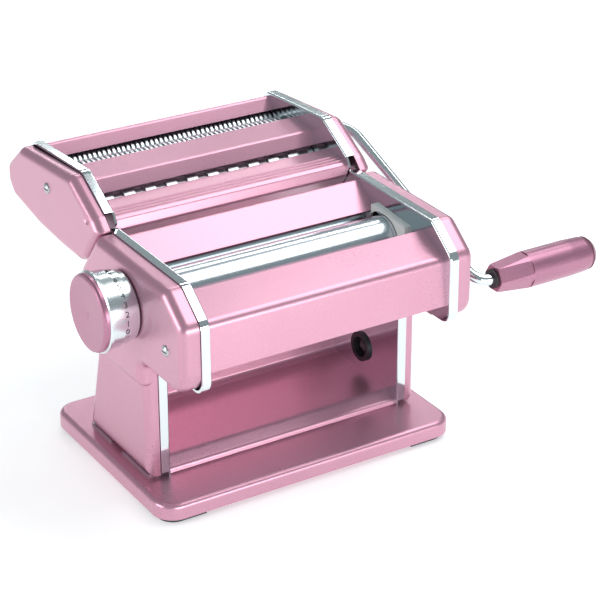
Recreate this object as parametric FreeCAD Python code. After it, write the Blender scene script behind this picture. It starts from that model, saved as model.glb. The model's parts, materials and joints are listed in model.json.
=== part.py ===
"""Hand-cranked pasta machine with two smooth rollers and a lift-off cutter head.

Millimetres.  X runs along the rollers (crank at +X, thickness knob at -X), Y runs
from the front of the machine to the back, Z is up.  The origin is on the table,
under the middle of the base.
"""
import math
import os

import FreeCAD
import Part

Vec = FreeCAD.Vector

# ---------------------------------------------------------------- driving dimensions
INNER_WIDTH = 144.0          # between the inner faces of the two side plates
PLATE = 1.2                  # chromed side plates
GUIDE_WIDTH = 2.2
BEND_ROUND = 1.0             # outer radius of the plates' bends
SKIN = 1.2                   # painted shells
SHEET = 1.0                  # painted folded sheets
FLANGE = 5.4                 # side plate flange, from the inner face outwards
TOUCH = 0.05                 # radial running clearance of every shaft
AIR = 0.4                    # clearance between neighbours that don't touch
SEAM = 0.5                   # visible gap between the body and the cutter head

BASE_DEPTH = 131.0
BASE_OVERHANG = 20.0         # base beyond the inner face of each side plate
BASE_TOP = 12.0
BASE_RIM = 3.0               # lower edge of the base's turned-down rim
BASE_CORNER = 12.0
BASE_EDGE = 3.0
FOOT_SIZE = 24.0
FOOT_INSET = 3.1

LEG_HEIGHT = 70.0            # base to the underside of the roller housing
LEG_FRONT = -37.0
LEG_FOOT_BACK = 35.3
LEG_WAIST = (22.0, -18.0)    # (Y, height from the housing's underside)
SHOULDER = (29.5, 30.0)
HOUSING_HEIGHT = 55.0
HOUSING_FRONT = -83.9
HOUSING_BACK = 12.5
LEG_COVER = 84.5             # outer face of the leg covers, with this inner width
COVER_STEP = 3.5             # the housing cover stands this far past the leg cover
COVER_ROUND = 5.0

ROLLER_RADIUS = 13.0
ROLLER_LIFT = 29.5           # roller axes above the housing's underside
REAR_ROLLER_Y = 5.7
GAP_OPEN = 4.8               # between the rollers at setting 0
GAP_CLOSED = 0.6             # at setting 9
SETTINGS = 10
SETTING_STEP = 14.5          # degrees of knob from one setting to the next
JOURNAL_RADIUS = 9.0         # hollow front roller
JOURNAL_WALL = 2.25
REAR_JOURNAL_RADIUS = 7.0
SOCKET_RADIUS = 3.4          # crank sockets
SOCKET_DEPTH = 16.0
SOCKET_RIM = 6.6
SOCKET_SLOT = 2.9            # depth of the cross slot in a socket's rim
TANG_HALF = 1.7              # half the thickness of the crank's tang

SHAFT_RADIUS = 4.0           # thickness shaft
CAM_PIN_REACH = 18.0         # cam pin in front of the front roller's axis
CAM_PIN_RADIUS = 1.5
CAM_RIM = 3.2

KNOB_RADIUS = 19.5
KNOB_PULL = 5.5
SPRING_WIRE = 0.8            # wall of the bellows spring
SPRING_TURNS = 4
SPRING_DEPTH = 1.2           # how far each fold stands out
SPRING_LENGTH = 9.0

CUTTER_RADIUS = 10.5
CUTTER_OVERLAP = 1.4
CUTTER_AXLE = 5.0
CUTTER_LIFT = 46.5           # wide cutter axes above the housing's underside
FINE_RISE = 6.7              # fine cutter axes above the wide ones
WIDE_CUTTER_Y = 38.5
STATION_GAP = 4.9            # between the wide and the fine station
WIDE_PITCH = 13.0
FINE_PITCH = 3.0
DISC_PLAY = 0.1              # side clearance of a disc in its groove
HEAD_HEIGHT = 30.5           # top of the head above the wide cutter axes
HEAD_COVER = 85.5            # outer face of the head's covers, with this inner width

CRANK_RADIUS = 3.3
CRANK_ARM_X = 42.0           # arm plane beyond the side plate's inner face
CRANK_LENGTH = 145.0
CRANK_DROP = 20.7            # degrees the arm hangs below the horizontal
CRANK_BEND = 9.0
GRIP_RADIUS = 10.5
GRIP_LENGTH = 64.0
GRIP_CONE = 21.0             # faceted cone at the grip's inner end
SCREW_RADIUS = 3.2

# ---------------------------------------------------------------- derived places
X_IN = INNER_WIDTH / 2
X_OUT = X_IN + PLATE
X_FLANGE = X_IN + FLANGE
COVER_X0 = X_FLANGE + 0.2
LEG_X = LEG_COVER - 72.0 + X_IN
BODY_X = LEG_X + COVER_STEP
HEAD_X = HEAD_COVER - 72.0 + X_IN

BASE_X = X_IN + BASE_OVERHANG
HOUSING_FLOOR = BASE_TOP + LEG_HEIGHT
HOUSING_TOP = HOUSING_FLOOR + HOUSING_HEIGHT
CREASE_Z = HOUSING_FLOOR - 14.5

ROLLER_Z = HOUSING_FLOOR + ROLLER_LIFT
CENTRES_OPEN = 2 * ROLLER_RADIUS + GAP_OPEN
CENTRES_CLOSED = 2 * ROLLER_RADIUS + GAP_CLOSED
CARRIAGE_TRAVEL = CENTRES_OPEN - CENTRES_CLOSED
FRONT_ROLLER_Y = REAR_ROLLER_Y - CENTRES_OPEN
SHAFT_Y = FRONT_ROLLER_Y + CARRIAGE_TRAVEL / 2
THICKNESS_TURN = (SETTINGS - 1) * SETTING_STEP

BLOCK_X0 = X_OUT + 0.1
BLOCK_X1 = BLOCK_X0 + 3.0
GEAR_X0 = BLOCK_X1 + 0.9
GEAR_X1 = GEAR_X0 + 3.8
CAM_X0 = GEAR_X1 + 0.5
CAM_X1 = BODY_X - SKIN - 2.6
SUPPORT_X0 = BODY_X - SKIN - 2.2
SUPPORT_X1 = SUPPORT_X0 + 1.2
JOURNAL_BORE = JOURNAL_RADIUS - JOURNAL_WALL
BOSS_HALF = JOURNAL_RADIUS + 1.5
CAM_START = CAM_PIN_REACH + SHAFT_Y - FRONT_ROLLER_Y
CAM_MARGIN = math.degrees((CAM_PIN_RADIUS + 0.5) / (CAM_START - CARRIAGE_TRAVEL))

CUTTER_SPACING = 2 * CUTTER_RADIUS - CUTTER_OVERLAP
CUTTER_CORE = CUTTER_SPACING - CUTTER_RADIUS - 0.5
WIDE_Z = HOUSING_FLOOR + CUTTER_LIFT
FINE_Z = WIDE_Z + FINE_RISE
WIDE_REAR_Y = WIDE_CUTTER_Y + CUTTER_SPACING
FINE_Y = WIDE_REAR_Y + 2 * CUTTER_RADIUS + STATION_GAP
FINE_REAR_Y = FINE_Y + CUTTER_SPACING
HEAD_TOP = WIDE_Z + HEAD_HEIGHT
HEAD_FLOOR = WIDE_Z - 16.5
HEAD_GEAR_X0 = X_IN + 5.6
HEAD_GEAR_X1 = HEAD_GEAR_X0 + 4.4
STATION_MIDDLE = (WIDE_REAR_Y + FINE_Y) / 2

KNOB_X = BODY_X + 0.5
NUMBER_X0 = KNOB_X + 4.5
NUMBER_X1 = NUMBER_X0 + 5.0
KNOB_X1 = NUMBER_X1 + 6.6
CAP_X = KNOB_X1 + 5.2
SPRING_X = KNOB_X + 3.5
SHAFT_END = SPRING_X + SPRING_LENGTH

# ---------------------------------------------------------------- shape helpers


def corner_list(corners):
    """Corners as (point, radius), with a radius of 0 where none is given."""
    return [((c[0], c[1]), c[2] if len(c) > 2 else 0.0) for c in corners]


def outline(corners, x):
    """Closed wire in the plane X = x through (y, z) corners; a third value rounds one."""
    places = corner_list(corners)
    count = len(places)
    enters = []
    leaves = []
    arcs = []
    for i, ((y, z), radius) in enumerate(places):
        here = Vec(x, y, z)
        back = Vec(x, *places[i - 1][0]) - here
        ahead = Vec(x, *places[(i + 1) % count][0]) - here
        if radius <= 0:
            enters.append(here)
            leaves.append(here)
            arcs.append(None)
            continue
        half = back.getAngle(ahead) / 2
        reach = min(radius / math.tan(half), 0.49 * back.Length, 0.49 * ahead.Length)
        radius = reach * math.tan(half)
        back.normalize()
        ahead.normalize()
        middle = back + ahead
        middle.normalize()
        top = here + middle * (radius / math.sin(half) - radius)
        enters.append(here + back * reach)
        leaves.append(here + ahead * reach)
        arcs.append(Part.Arc(enters[-1], top, leaves[-1]).toShape())
    edges = []
    for i in range(count):
        if arcs[i] is not None:
            edges.append(arcs[i])
        start = leaves[i]
        end = enters[(i + 1) % count]
        if start.distanceToPoint(end) > 1e-6:
            edges.append(Part.makeLine(start, end))
    return Part.Wire(Part.__sortEdges__(edges))


def slab(corners, x0, x1):
    """Side-view outline, as thick as from x0 to x1."""
    return Part.Face(outline(corners, x0)).extrude(Vec(x1 - x0, 0, 0))


def area(corners):
    """Signed area of the polygon through the corners."""
    points = [c[0] for c in corner_list(corners)]
    total = 0.0
    for i, (y, z) in enumerate(points):
        total += points[i - 1][0] * z - y * points[i - 1][1]
    return total / 2


def shifted_line(a, b, distance):
    """A point on, and the direction of, the line a-b moved to its left."""
    length = math.hypot(b[0] - a[0], b[1] - a[1])
    u = ((b[0] - a[0]) / length, (b[1] - a[1]) / length)
    return (a[0] - u[1] * distance, a[1] + u[0] * distance), u


def crossing(first, second):
    """Where two lines, each a point and a direction, meet."""
    (p, u), (q, v) = first, second
    cross = u[0] * v[1] - u[1] * v[0]
    if abs(cross) < 1e-9:
        return q
    t = ((q[0] - p[0]) * v[1] - (q[1] - p[1]) * v[0]) / cross
    return (p[0] + u[0] * t, p[1] + u[1] * t)


def inset(corners, distance):
    """The outline moved inwards by a distance, with its corner radii to match."""
    side = 1.0 if area(corners) > 0 else -1.0
    places = corner_list(corners)
    count = len(places)
    moved = []
    for i, (point, radius) in enumerate(places):
        before = places[i - 1][0]
        after = places[(i + 1) % count][0]
        come = shifted_line(before, point, side * distance)
        go = shifted_line(point, after, side * distance)
        turn = (come[1][0] * go[1][1] - come[1][1] * go[1][0]) * side
        grown = radius - distance if turn > 0 else radius + distance
        spot = crossing(come, go)
        moved.append((spot[0], spot[1], max(grown, 0.0) if radius > 0 else 0.0))
    return moved


def folded(path, thickness, x0, x1):
    """Folded sheet: the path is one face, the other lies to its left."""
    places = corner_list(path)
    other = []
    radii = []
    for i, (point, radius) in enumerate(places):
        lines = []
        if i > 0:
            lines.append(shifted_line(places[i - 1][0], point, thickness))
        if i < len(places) - 1:
            lines.append(shifted_line(point, places[i + 1][0], thickness))
        if len(lines) == 1:
            spot = shifted_line(point, (point[0] + lines[0][1][0], point[1] + lines[0][1][1]),
                                thickness)[0]
            other.append((spot[0], spot[1]))
            radii.append(0.0)
            continue
        spot = crossing(lines[0], lines[1])
        turn = lines[0][1][0] * lines[1][1][1] - lines[0][1][1] * lines[1][1][0]
        bend = radius - thickness if turn > 0 else radius + thickness
        other.append((spot[0], spot[1], max(bend, 0.0) if radius > 0 else 0.0))
        radii.append(radius)
    near = [(p[0], p[1], r) for (p, _), r in zip(places, radii)]
    return slab(near + other[::-1], x0, x1)


def rod(x0, x1, radius, y, z):
    """Cylinder along X."""
    return Part.makeCylinder(radius, abs(x1 - x0), Vec(min(x0, x1), y, z), Vec(1, 0, 0))


def tube(x0, x1, radius, bore, y, z):
    """Ring along X."""
    return rod(x0, x1, radius, y, z).cut(rod(x0, x1, bore, y, z))


def turned(profile, y, z):
    """Solid of revolution about an X axis through (y, z), from closed (x, radius) points."""
    points = [Vec(x, y, z + radius) for x, radius in profile]
    face = Part.Face(Part.makePolygon(points + points[:1]))
    return face.revolve(Vec(0, y, z), Vec(1, 0, 0), 360)


def block(x0, x1, y0, y1, z0, z1):
    """Box between two corners."""
    return Part.makeBox(x1 - x0, y1 - y0, z1 - z0, Vec(x0, y0, z0))


def mirrored(shape):
    """The same piece on the other side of the machine."""
    return shape.mirror(Vec(0, 0, 0), Vec(1, 0, 0))


def both(shape):
    """A piece and its mirror image, as two solids."""
    return Part.makeCompound([shape, mirrored(shape)])


def joined(shapes):
    """Pieces fused to one clean solid."""
    result = shapes[0]
    if len(shapes) > 1:
        result = shapes[0].multiFuse(shapes[1:])
    return result.removeSplitter()


def rounded_slab(corners, x0, x1, radius):
    """A slab whose face at x1 has a rounded rim."""
    body = slab(corners, x0, x1)
    rim = []
    for edge in body.Edges:
        box = edge.BoundBox
        if abs(box.XMin - x1) < 1e-4 and abs(box.XMax - x1) < 1e-4:
            rim.append(edge)
    return body.makeFillet(radius, rim)


def on_line(a, b, z):
    """Y of the line a-b at height z."""
    return a[0] + (b[0] - a[0]) * (z - a[1]) / (b[1] - a[1])


def slender_gear(x0, x1, teeth, root, tip, root_half, tip_half, y, z, first):
    """Spur gear with straight tapering teeth, the first at an angle in degrees."""
    points = []
    for index in range(teeth):
        angle = math.radians(first + 360.0 * index / teeth)
        along = (math.cos(angle), math.sin(angle))
        for radius, half in ((root, -root_half), (tip, -tip_half), (tip, tip_half),
                             (root, root_half)):
            reach = math.sqrt(radius ** 2 - half ** 2)
            points.append((y + reach * along[0] - half * along[1],
                           z + reach * along[1] + half * along[0]))
    return slab(points, x0, x1)


# ---------------------------------------------------------------- outlines
BACK_LOW = (SHOULDER[0], HOUSING_FLOOR + SHOULDER[1])
BACK_HIGH = (HOUSING_BACK, HOUSING_TOP)
WAIST = (LEG_WAIST[0], HOUSING_FLOOR + LEG_WAIST[1])
HEAD_FRONT_Y = on_line(BACK_LOW, BACK_HIGH, HEAD_FLOOR + 1.2) + 1.3
HEAD_REAR = FINE_REAR_Y + 19.5

BODY_OUTLINE = [
    BACK_HIGH,
    (HOUSING_FRONT + 19.2, HOUSING_TOP - 0.7, 8),
    (HOUSING_FRONT + 0.4, HOUSING_TOP - 15.3, 8),
    (HOUSING_FRONT, HOUSING_FLOOR, 13),
    (LEG_FRONT, HOUSING_FLOOR, 4),
    (LEG_FRONT, BASE_TOP),
    (LEG_FOOT_BACK, BASE_TOP),
    WAIST,
    BACK_LOW,
]

HEAD_OUTLINE = [
    (HOUSING_BACK + 1.4, HOUSING_TOP + 1.6),
    (HOUSING_BACK + 4.9, HEAD_TOP - 15, 2),
    (WIDE_CUTTER_Y + 4.3, HEAD_TOP, 8),
    (FINE_REAR_Y - 1.6, HEAD_TOP - 3.3, 4),
    (HEAD_REAR - 1.4, WIDE_Z + 10.5, 6),
    (HEAD_REAR - 1.4, WIDE_Z - 0.4, 5),
    (HEAD_REAR - 8.0, WIDE_Z - 9.4, 6),
    (FINE_Y, HEAD_FLOOR + 2.6, 8),
    (WIDE_REAR_Y, HEAD_FLOOR + 1.2, 8),
    (HEAD_FRONT_Y, HEAD_FLOOR + 1.2),
]

SEAM_LOW = (BACK_LOW[0], BACK_LOW[1])
SEAM_HIGH = (HOUSING_BACK - 2.8, HOUSING_TOP - 1.0)

HEAD_COVER_OUTLINE = [
    (SEAM_HIGH[0] + 2 * SEAM, SEAM_HIGH[1] + 0.3, 1),
    (HOUSING_BACK + 4.5, HEAD_TOP - 16.6, 4),
    (WIDE_CUTTER_Y + 4.3, HEAD_TOP - 1.6, 8),
    (FINE_REAR_Y + 1.4, HEAD_TOP - 6, 8),
    (HEAD_REAR, WIDE_Z + 9.5, 6),
    (HEAD_REAR + 0.1, WIDE_Z - 0.4, 6),
    (HEAD_REAR - 6.6, WIDE_Z - 8.6, 6),
    (FINE_Y + 1, HEAD_FLOOR + 2.0, 10),
    (WIDE_REAR_Y, HEAD_FLOOR, 10),
    (SEAM_LOW[0] + 5.9, HEAD_FLOOR - 0.4, 2),
    (SEAM_LOW[0] - 2.8, HEAD_FLOOR + 3.3, 2),
]


# ---------------------------------------------------------------- base
def base_plate():
    """Folded steel base: a tray turned upside down, with screw and clamp holes."""
    half = BASE_DEPTH / 2
    outer = block(-BASE_X, BASE_X, -half, half, BASE_RIM, BASE_TOP)
    inner = block(-BASE_X + SKIN, BASE_X - SKIN, -half + SKIN, half - SKIN,
                  BASE_RIM - 1, BASE_TOP - SKIN)
    shells = []
    for body, corner, edge in ((outer, BASE_CORNER, BASE_EDGE),
                               (inner, BASE_CORNER - SKIN, BASE_EDGE - SKIN)):
        posts = [e for e in body.Edges if e.BoundBox.ZLength > 1]
        body = body.makeFillet(corner, posts)
        top = body.BoundBox.ZMax
        rims = [e for e in body.Edges if e.BoundBox.ZMin > top - 1e-4]
        shells.append(body.makeFillet(edge, rims))
    plate = shells[0].cut(shells[1])
    for x, y in tab_screws():
        plate = plate.cut(Part.makeCylinder(1.6, 20, Vec(x, y, 0)))
    return plate


def tab_screws():
    """Places of the screws that hold the side plates' tabs to the base."""
    across = (X_OUT + LEG_X - SKIN) / 2
    return [(side * across, y) for side in (-1, 1)
            for y in (LEG_FRONT + 19.9, LEG_FOOT_BACK - 13.0)]


def base_screws():
    """Four screws up through the base into the tabs."""
    screws = []
    for x, y in tab_screws():
        shank = Part.makeCylinder(1.6, PLATE + SKIN + 0.2, Vec(x, y, BASE_TOP - SKIN))
        head = Part.makeCylinder(3.0, 1.8, Vec(x, y, BASE_TOP - SKIN - 1.8))
        screws.append(joined([head, shank]))
    return Part.makeCompound(screws)


def rubber_feet():
    """Four square rubber pads pressed up into the base's corners."""
    half = BASE_DEPTH / 2
    feet = []
    for sx in (-1, 1):
        for sy in (-1, 1):
            x = sx * (BASE_X - FOOT_INSET - FOOT_SIZE / 2)
            y = sy * (half - FOOT_INSET - FOOT_SIZE / 2)
            pad = block(x - FOOT_SIZE / 2, x + FOOT_SIZE / 2, y - FOOT_SIZE / 2,
                        y + FOOT_SIZE / 2, 0, BASE_TOP - SKIN)
            posts = []
            for edge in pad.Edges:
                box = edge.BoundBox
                if box.ZLength > 1 and abs(box.XMin) > abs(x) and abs(box.YMin) > abs(y):
                    posts.append(edge)
            feet.append(pad.makeFillet(BASE_CORNER - FOOT_INSET, posts))
    return Part.makeCompound(feet)


# ---------------------------------------------------------------- side plates
def carriage_slot():
    """Slot in a side plate for the sliding bearing's boss."""
    front = FRONT_ROLLER_Y - BOSS_HALF - AIR
    back = FRONT_ROLLER_Y + CARRIAGE_TRAVEL + BOSS_HALF + AIR
    return block(X_IN - 1, X_OUT + 1, front, back, ROLLER_Z - BOSS_HALF - TOUCH,
                 ROLLER_Z + BOSS_HALF + TOUCH)


def body_posts():
    """Axes of the two tie rods between the side plates."""
    return [(HOUSING_FRONT + 18.0, ROLLER_Z - 8.0),
            (REAR_ROLLER_Y + 10.8, ROLLER_Z - ROLLER_RADIUS - 3.0)]


def bent_flange(path):
    """Flange along a path, with the outer side of its bend rounded."""
    strip = folded(path, PLATE, X_IN, X_FLANGE)
    core = folded(path, PLATE / 2, X_IN - 1, X_FLANGE)
    bends = []
    for edge in strip.Edges:
        if edge.BoundBox.XMax > X_IN + 0.01:
            continue
        middle = edge.valueAt((edge.FirstParameter + edge.LastParameter) / 2)
        if edge.Length > PLATE * 1.01 and core.distToShape(Part.Vertex(middle))[0] < 0.01:
            bends.append(edge)
    return strip.makeFillet(BEND_ROUND, bends)


def with_flanges(plate, paths):
    """Plate with a bent flange along each path."""
    for path in paths:
        plate = plate.cut(folded(path, BEND_ROUND, X_IN - 1, X_FLANGE + 1))
    return joined([plate] + [bent_flange(path) for path in paths])


def side_plate():
    """Chromed side plate, for the right, with its flanges and two tabs on the base."""
    plate = slab(BODY_OUTLINE, X_IN, X_OUT)
    top = [BACK_HIGH] + BODY_OUTLINE[1:3] + [
        (HOUSING_FRONT, HOUSING_FLOOR, 13), (HOUSING_FRONT + 16, HOUSING_FLOOR)]
    leg = [(LEG_FRONT, HOUSING_FLOOR - 7), (LEG_FRONT, BASE_TOP + 3)]
    rear = [(LEG_FOOT_BACK - 0.6, BASE_TOP + 2.3),
            (on_line((LEG_FOOT_BACK, BASE_TOP), WAIST, WAIST[1] - 3), WAIST[1] - 3)]
    parts = [with_flanges(plate, (top, leg, rear))]
    for y0, y1 in tab_spans():
        parts.append(block(X_IN, LEG_X - SKIN - 0.4, y0, y1, BASE_TOP, BASE_TOP + PLATE))
    plate = joined(parts)
    holes = [carriage_slot()]
    holes.append(rod(X_IN - 1, X_OUT + 1, REAR_JOURNAL_RADIUS + 2.5, REAR_ROLLER_Y, ROLLER_Z))
    for y, z in body_posts():
        holes.append(rod(X_IN - 1, X_OUT + 1, 3.0, y, z))
    for x, y in tab_screws():
        holes.append(Part.makeCylinder(1.6, PLATE + 2, Vec(x, y, BASE_TOP - 1)))
    return plate.cut(Part.makeCompound(holes))


def side_plate_right():
    """The right-hand plate also has the hole for the clamp's grommet."""
    y, z, bore = clamp_place()
    return side_plate().cut(rod(X_IN - 1, X_OUT + 1, bore + 1.4, y, z))


def tab_spans():
    """Front and back of the two tabs on a side plate's foot."""
    middle = LEG_FRONT + 35.0
    return [(LEG_FRONT + 4.7, middle), (middle + 12.6, LEG_FOOT_BACK - 1.4)]


def body_cover():
    """Painted right-hand cover: a leg and a thicker housing in one pressing."""
    edge = BODY_OUTLINE[:]
    edge[0] = SEAM_HIGH
    edge[-1] = SEAM_LOW
    outer = inset(edge, 0.8)
    outer[5] = (outer[5][0], BASE_TOP + 1.6)
    outer[6] = (outer[6][0], BASE_TOP + 1.6)
    outer[0] = (SEAM_HIGH[0] - 0.6, SEAM_HIGH[1], 2)
    outer[-1] = (SEAM_LOW[0] - 0.6, SEAM_LOW[1], 3)
    shell = cover_solid(outer, LEG_X, BODY_X, COVER_ROUND, CREASE_Z)
    shell = shell.cut(cover_solid(inset(outer, SKIN), LEG_X - SKIN, BODY_X - SKIN,
                                  COVER_ROUND - SKIN, CREASE_Z + SKIN))
    holes = [rod(LEG_X, BODY_X + 1, 1.7, y, z) for y, z in body_posts()]
    return shell.cut(Part.makeCompound(holes))


def cover_solid(corners, leg_x, body_x, radius, crease):
    """Leg prism and the housing prism above the crease, both with rounded rims."""
    leg = rounded_slab(corners, COVER_X0, leg_x, radius)
    upper = corners[:5] + [
        (corners[4][0], crease, 3),
        (corners[4][0] + 38, crease, 14),
        (on_line(corners[6], corners[7], crease + 3.2), crease + 3.2, 3),
    ] + corners[8:]
    if corners[7][1] > crease + 3.2:
        upper.insert(-1, corners[7])
    body = rounded_slab(upper, COVER_X0, body_x, radius)
    return joined([leg, body])


def side_cover_right():
    """Right-hand cover, open where the crank reaches the smooth roller's socket."""
    return body_cover().cut(rod(BODY_X - 8, BODY_X + 1, SOCKET_RIM + AIR + 0.2,
                                REAR_ROLLER_Y, ROLLER_Z))


def side_cover_left():
    """Left-hand cover, open for the thickness shaft and its index pin."""
    cover = mirrored(body_cover())
    cover = cover.cut(rod(-BODY_X - 1, -BODY_X + 8, SHAFT_RADIUS + AIR, SHAFT_Y, ROLLER_Z))
    y, z = index_place()
    return cover.cut(rod(-BODY_X - 1, -BODY_X + 8, 1.5 + 0.3, y, z))


# ---------------------------------------------------------------- sheets between the plates
def front_cover():
    """Painted visor in front of the rollers."""
    path = [
        (HOUSING_FRONT + 3.5, HOUSING_FLOOR + 10.8),
        (HOUSING_FRONT + 6.3, HOUSING_TOP - 18.3, 5),
        (HOUSING_FRONT + 28.1, HOUSING_TOP - 9.1, 0.8),
        (HOUSING_FRONT + 29.1, HOUSING_TOP - 13.1),
    ]
    return folded(path[::-1], SHEET, -X_IN, X_IN)


def hopper_slope():
    """Lower and upper end of the dough plate, clear of the rear roller."""
    slope = math.radians(34.7)
    off = ROLLER_RADIUS + 5.4
    foot = (REAR_ROLLER_Y - off * math.sin(slope), ROLLER_Z + off * math.cos(slope))
    low = (foot[0] - 7.1 * math.cos(slope), foot[1] - 7.1 * math.sin(slope))
    rise = HOUSING_TOP - 2.2 - low[1]
    high = (low[0] + rise / math.tan(slope), low[1] + rise)
    return low, high


def hopper_plate():
    """Painted plate that leads the dough down to the rollers."""
    low, high = hopper_slope()
    path = [low, (high[0], high[1], 1.4), (high[0] + 1.9, high[1] - 4.0)]
    return folded(path[::-1], SHEET, -X_IN, X_IN)


def tray_panel():
    """Painted tray between the legs, turned up at the back."""
    back = LEG_FOOT_BACK - 5.0
    lean = BASE_TOP + 20.0
    path = [
        (LEG_FRONT + 3.0, BASE_TOP),
        (LEG_FRONT + 3.5, BASE_TOP + 2.1, 1.6),
        (LEG_FRONT + 10.2, BASE_TOP + 5.5, 6),
        (back - 6.5, BASE_TOP + 6.5, 3),
        (back - 1.5, lean - 12.0, 3),
        (back, lean, 10),
        (WAIST[0] - 3.0, WAIST[1] + 2.0),
    ]
    return folded(path, SHEET, -X_IN, X_IN)


def side_guides():
    """Straight-topped guides over the roller ends that keep the dough off the plates."""
    low = hopper_slope()[0]
    nip = REAR_ROLLER_Y - CENTRES_CLOSED / 2
    back = low[0] - 0.8
    top = ROLLER_Z + ROLLER_RADIUS
    front = FRONT_ROLLER_Y - ROLLER_RADIUS - 5.8
    corners = [
        (front + 5.4, ROLLER_Z + 3.5),
        (nip + 1.4, ROLLER_Z + 6.1),
        (nip + 2.6, ROLLER_Z + 8.3),
        (back, low[1] - 1.0),
        (back, top + 2.5, 1),
        (front, top - 0.1, 1),
        (front, ROLLER_Z + 6.0, 2),
    ]
    guide = slab(corners, X_IN - GUIDE_WIDTH, X_IN)
    clear = ROLLER_RADIUS + AIR
    for y in (FRONT_ROLLER_Y, FRONT_ROLLER_Y + CARRIAGE_TRAVEL, REAR_ROLLER_Y):
        guide = guide.cut(rod(X_IN - 5, X_IN + 1, clear, y, ROLLER_Z))
    guide = guide.cut(block(X_IN - 5, X_IN + 1, FRONT_ROLLER_Y,
                            FRONT_ROLLER_Y + CARRIAGE_TRAVEL, ROLLER_Z - clear,
                            ROLLER_Z + clear))
    solids = sorted(guide.Solids, key=lambda solid: solid.Volume)
    return both(solids[-1])


def body_tie_rods():
    """Shouldered rods that space the side plates and carry the covers' screws."""
    rods = []
    for y, z in body_posts():
        bar = joined([rod(-X_IN, X_IN, 4.0, y, z),
                      rod(-BODY_X + SKIN, BODY_X - SKIN, 3.0, y, z)])
        for side in (-1, 1):
            end = side * (BODY_X - SKIN)
            bar = bar.cut(rod(end - side * 7.0, end, 1.5, y, z))
        rods.append(bar)
    return Part.makeCompound(rods)


def cover_screw(y, z, x_face):
    """Screw with a low round head that sits on a cover's face."""
    head = turned([(x_face, 0), (x_face, SCREW_RADIUS), (x_face + 0.7, SCREW_RADIUS - 0.3),
                   (x_face + 1.4, SCREW_RADIUS - 1.6), (x_face + 1.5, 0)], y, z)
    head = head.cut(block(x_face + 0.8, x_face + 3, y - 4, y + 4, z - 0.4, z + 0.4))
    return joined([head, rod(x_face - SKIN - 5.0, x_face, 1.5, y, z)])


def body_cover_screws():
    """Screws through the body covers into the tie rods."""
    screws = [both(cover_screw(y, z, BODY_X)) for y, z in body_posts()]
    return Part.makeCompound([s for group in screws for s in group.Solids])


def clamp_grommet():
    """Ring in the right leg that takes the table clamp's rod."""
    y, z, bore = clamp_place()
    return joined([tube(X_IN - 1.6, X_IN, bore + 2.7, bore, y, z),
                   tube(X_IN - 1.6, X_OUT + 1.4, bore + 1.4, bore, y, z)])


def clamp_place():
    """Axis and bore radius of the clamp hole."""
    return LEG_FRONT + 36.1, BASE_TOP + 22.0, 6.0


# ---------------------------------------------------------------- roller bearings
def roller_bushes():
    """Flanged bushes of the rear roller."""
    inner = REAR_JOURNAL_RADIUS + TOUCH
    bush = joined([tube(X_IN, X_OUT, REAR_JOURNAL_RADIUS + 2.5, inner, REAR_ROLLER_Y, ROLLER_Z),
                   tube(X_OUT, BLOCK_X1, REAR_JOURNAL_RADIUS + 4.0, inner,
                        REAR_ROLLER_Y, ROLLER_Z)])
    return both(bush)


def standoff_places():
    """Three places around the thickness shaft, outside the cams' sweep."""
    sweep = CAM_START + CAM_RIM + 5.8
    return [(SHAFT_Y + 17.2, ROLLER_Z + 17.2), (SHAFT_Y - sweep - 1.0, ROLLER_Z),
            (SHAFT_Y + 2.5, ROLLER_Z - sweep)]


def standoffs():
    """Six spacers welded to the side plates, riveted to the support plates."""
    posts = []
    for y, z in standoff_places():
        post = joined([rod(X_OUT, SUPPORT_X0, 2.5, y, z), rod(X_OUT, SUPPORT_X1, 1.5, y, z)])
        posts += [post, mirrored(post)]
    return Part.makeCompound(posts)


def index_place():
    """Index pin beside the shaft, in front of a hole in the knob's back."""
    return SHAFT_Y + 11.5, ROLLER_Z


def index_pin():
    """Pin on the left support plate that the knob's holes drop on."""
    y, z = index_place()
    return rod(-SUPPORT_X1, -KNOB_X + 0.3, 1.5, y, z)


def support_plates():
    """Outboard plates that carry the thickness shaft."""
    places = standoff_places()
    parts = [rod(SUPPORT_X0, SUPPORT_X1, 4.2, y, z) for y, z in places]
    for i, (y, z) in enumerate(places):
        y0, z0 = places[i - 1]
        length = math.hypot(y - y0, z - z0)
        across = (-(z - z0) / length * 4.2, (y - y0) / length * 4.2)
        parts.append(slab([(y0 + across[0], z0 + across[1]), (y0 - across[0], z0 - across[1]),
                           (y - across[0], z - across[1]), (y + across[0], z + across[1])],
                          SUPPORT_X0, SUPPORT_X1))
    parts.append(slab(places, SUPPORT_X0, SUPPORT_X1))
    y, z = index_place()
    parts.append(rod(SUPPORT_X0, SUPPORT_X1, 3.5, y, z))
    parts.append(block(SUPPORT_X0, SUPPORT_X1, SHAFT_Y, y, z - 3.5, z + 3.5))
    parts.append(rod(SUPPORT_X0 - 0.2, SUPPORT_X1, SHAFT_RADIUS + 2.5, SHAFT_Y, ROLLER_Z))
    plate = joined(parts)
    holes = [rod(SUPPORT_X0 - 1, SUPPORT_X1 + 1, SHAFT_RADIUS + TOUCH, SHAFT_Y, ROLLER_Z)]
    for y, z in places:
        holes.append(rod(SUPPORT_X0 - 1, SUPPORT_X1 + 1, 1.5, y, z))
    return both(plate.cut(Part.makeCompound(holes)))


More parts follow.
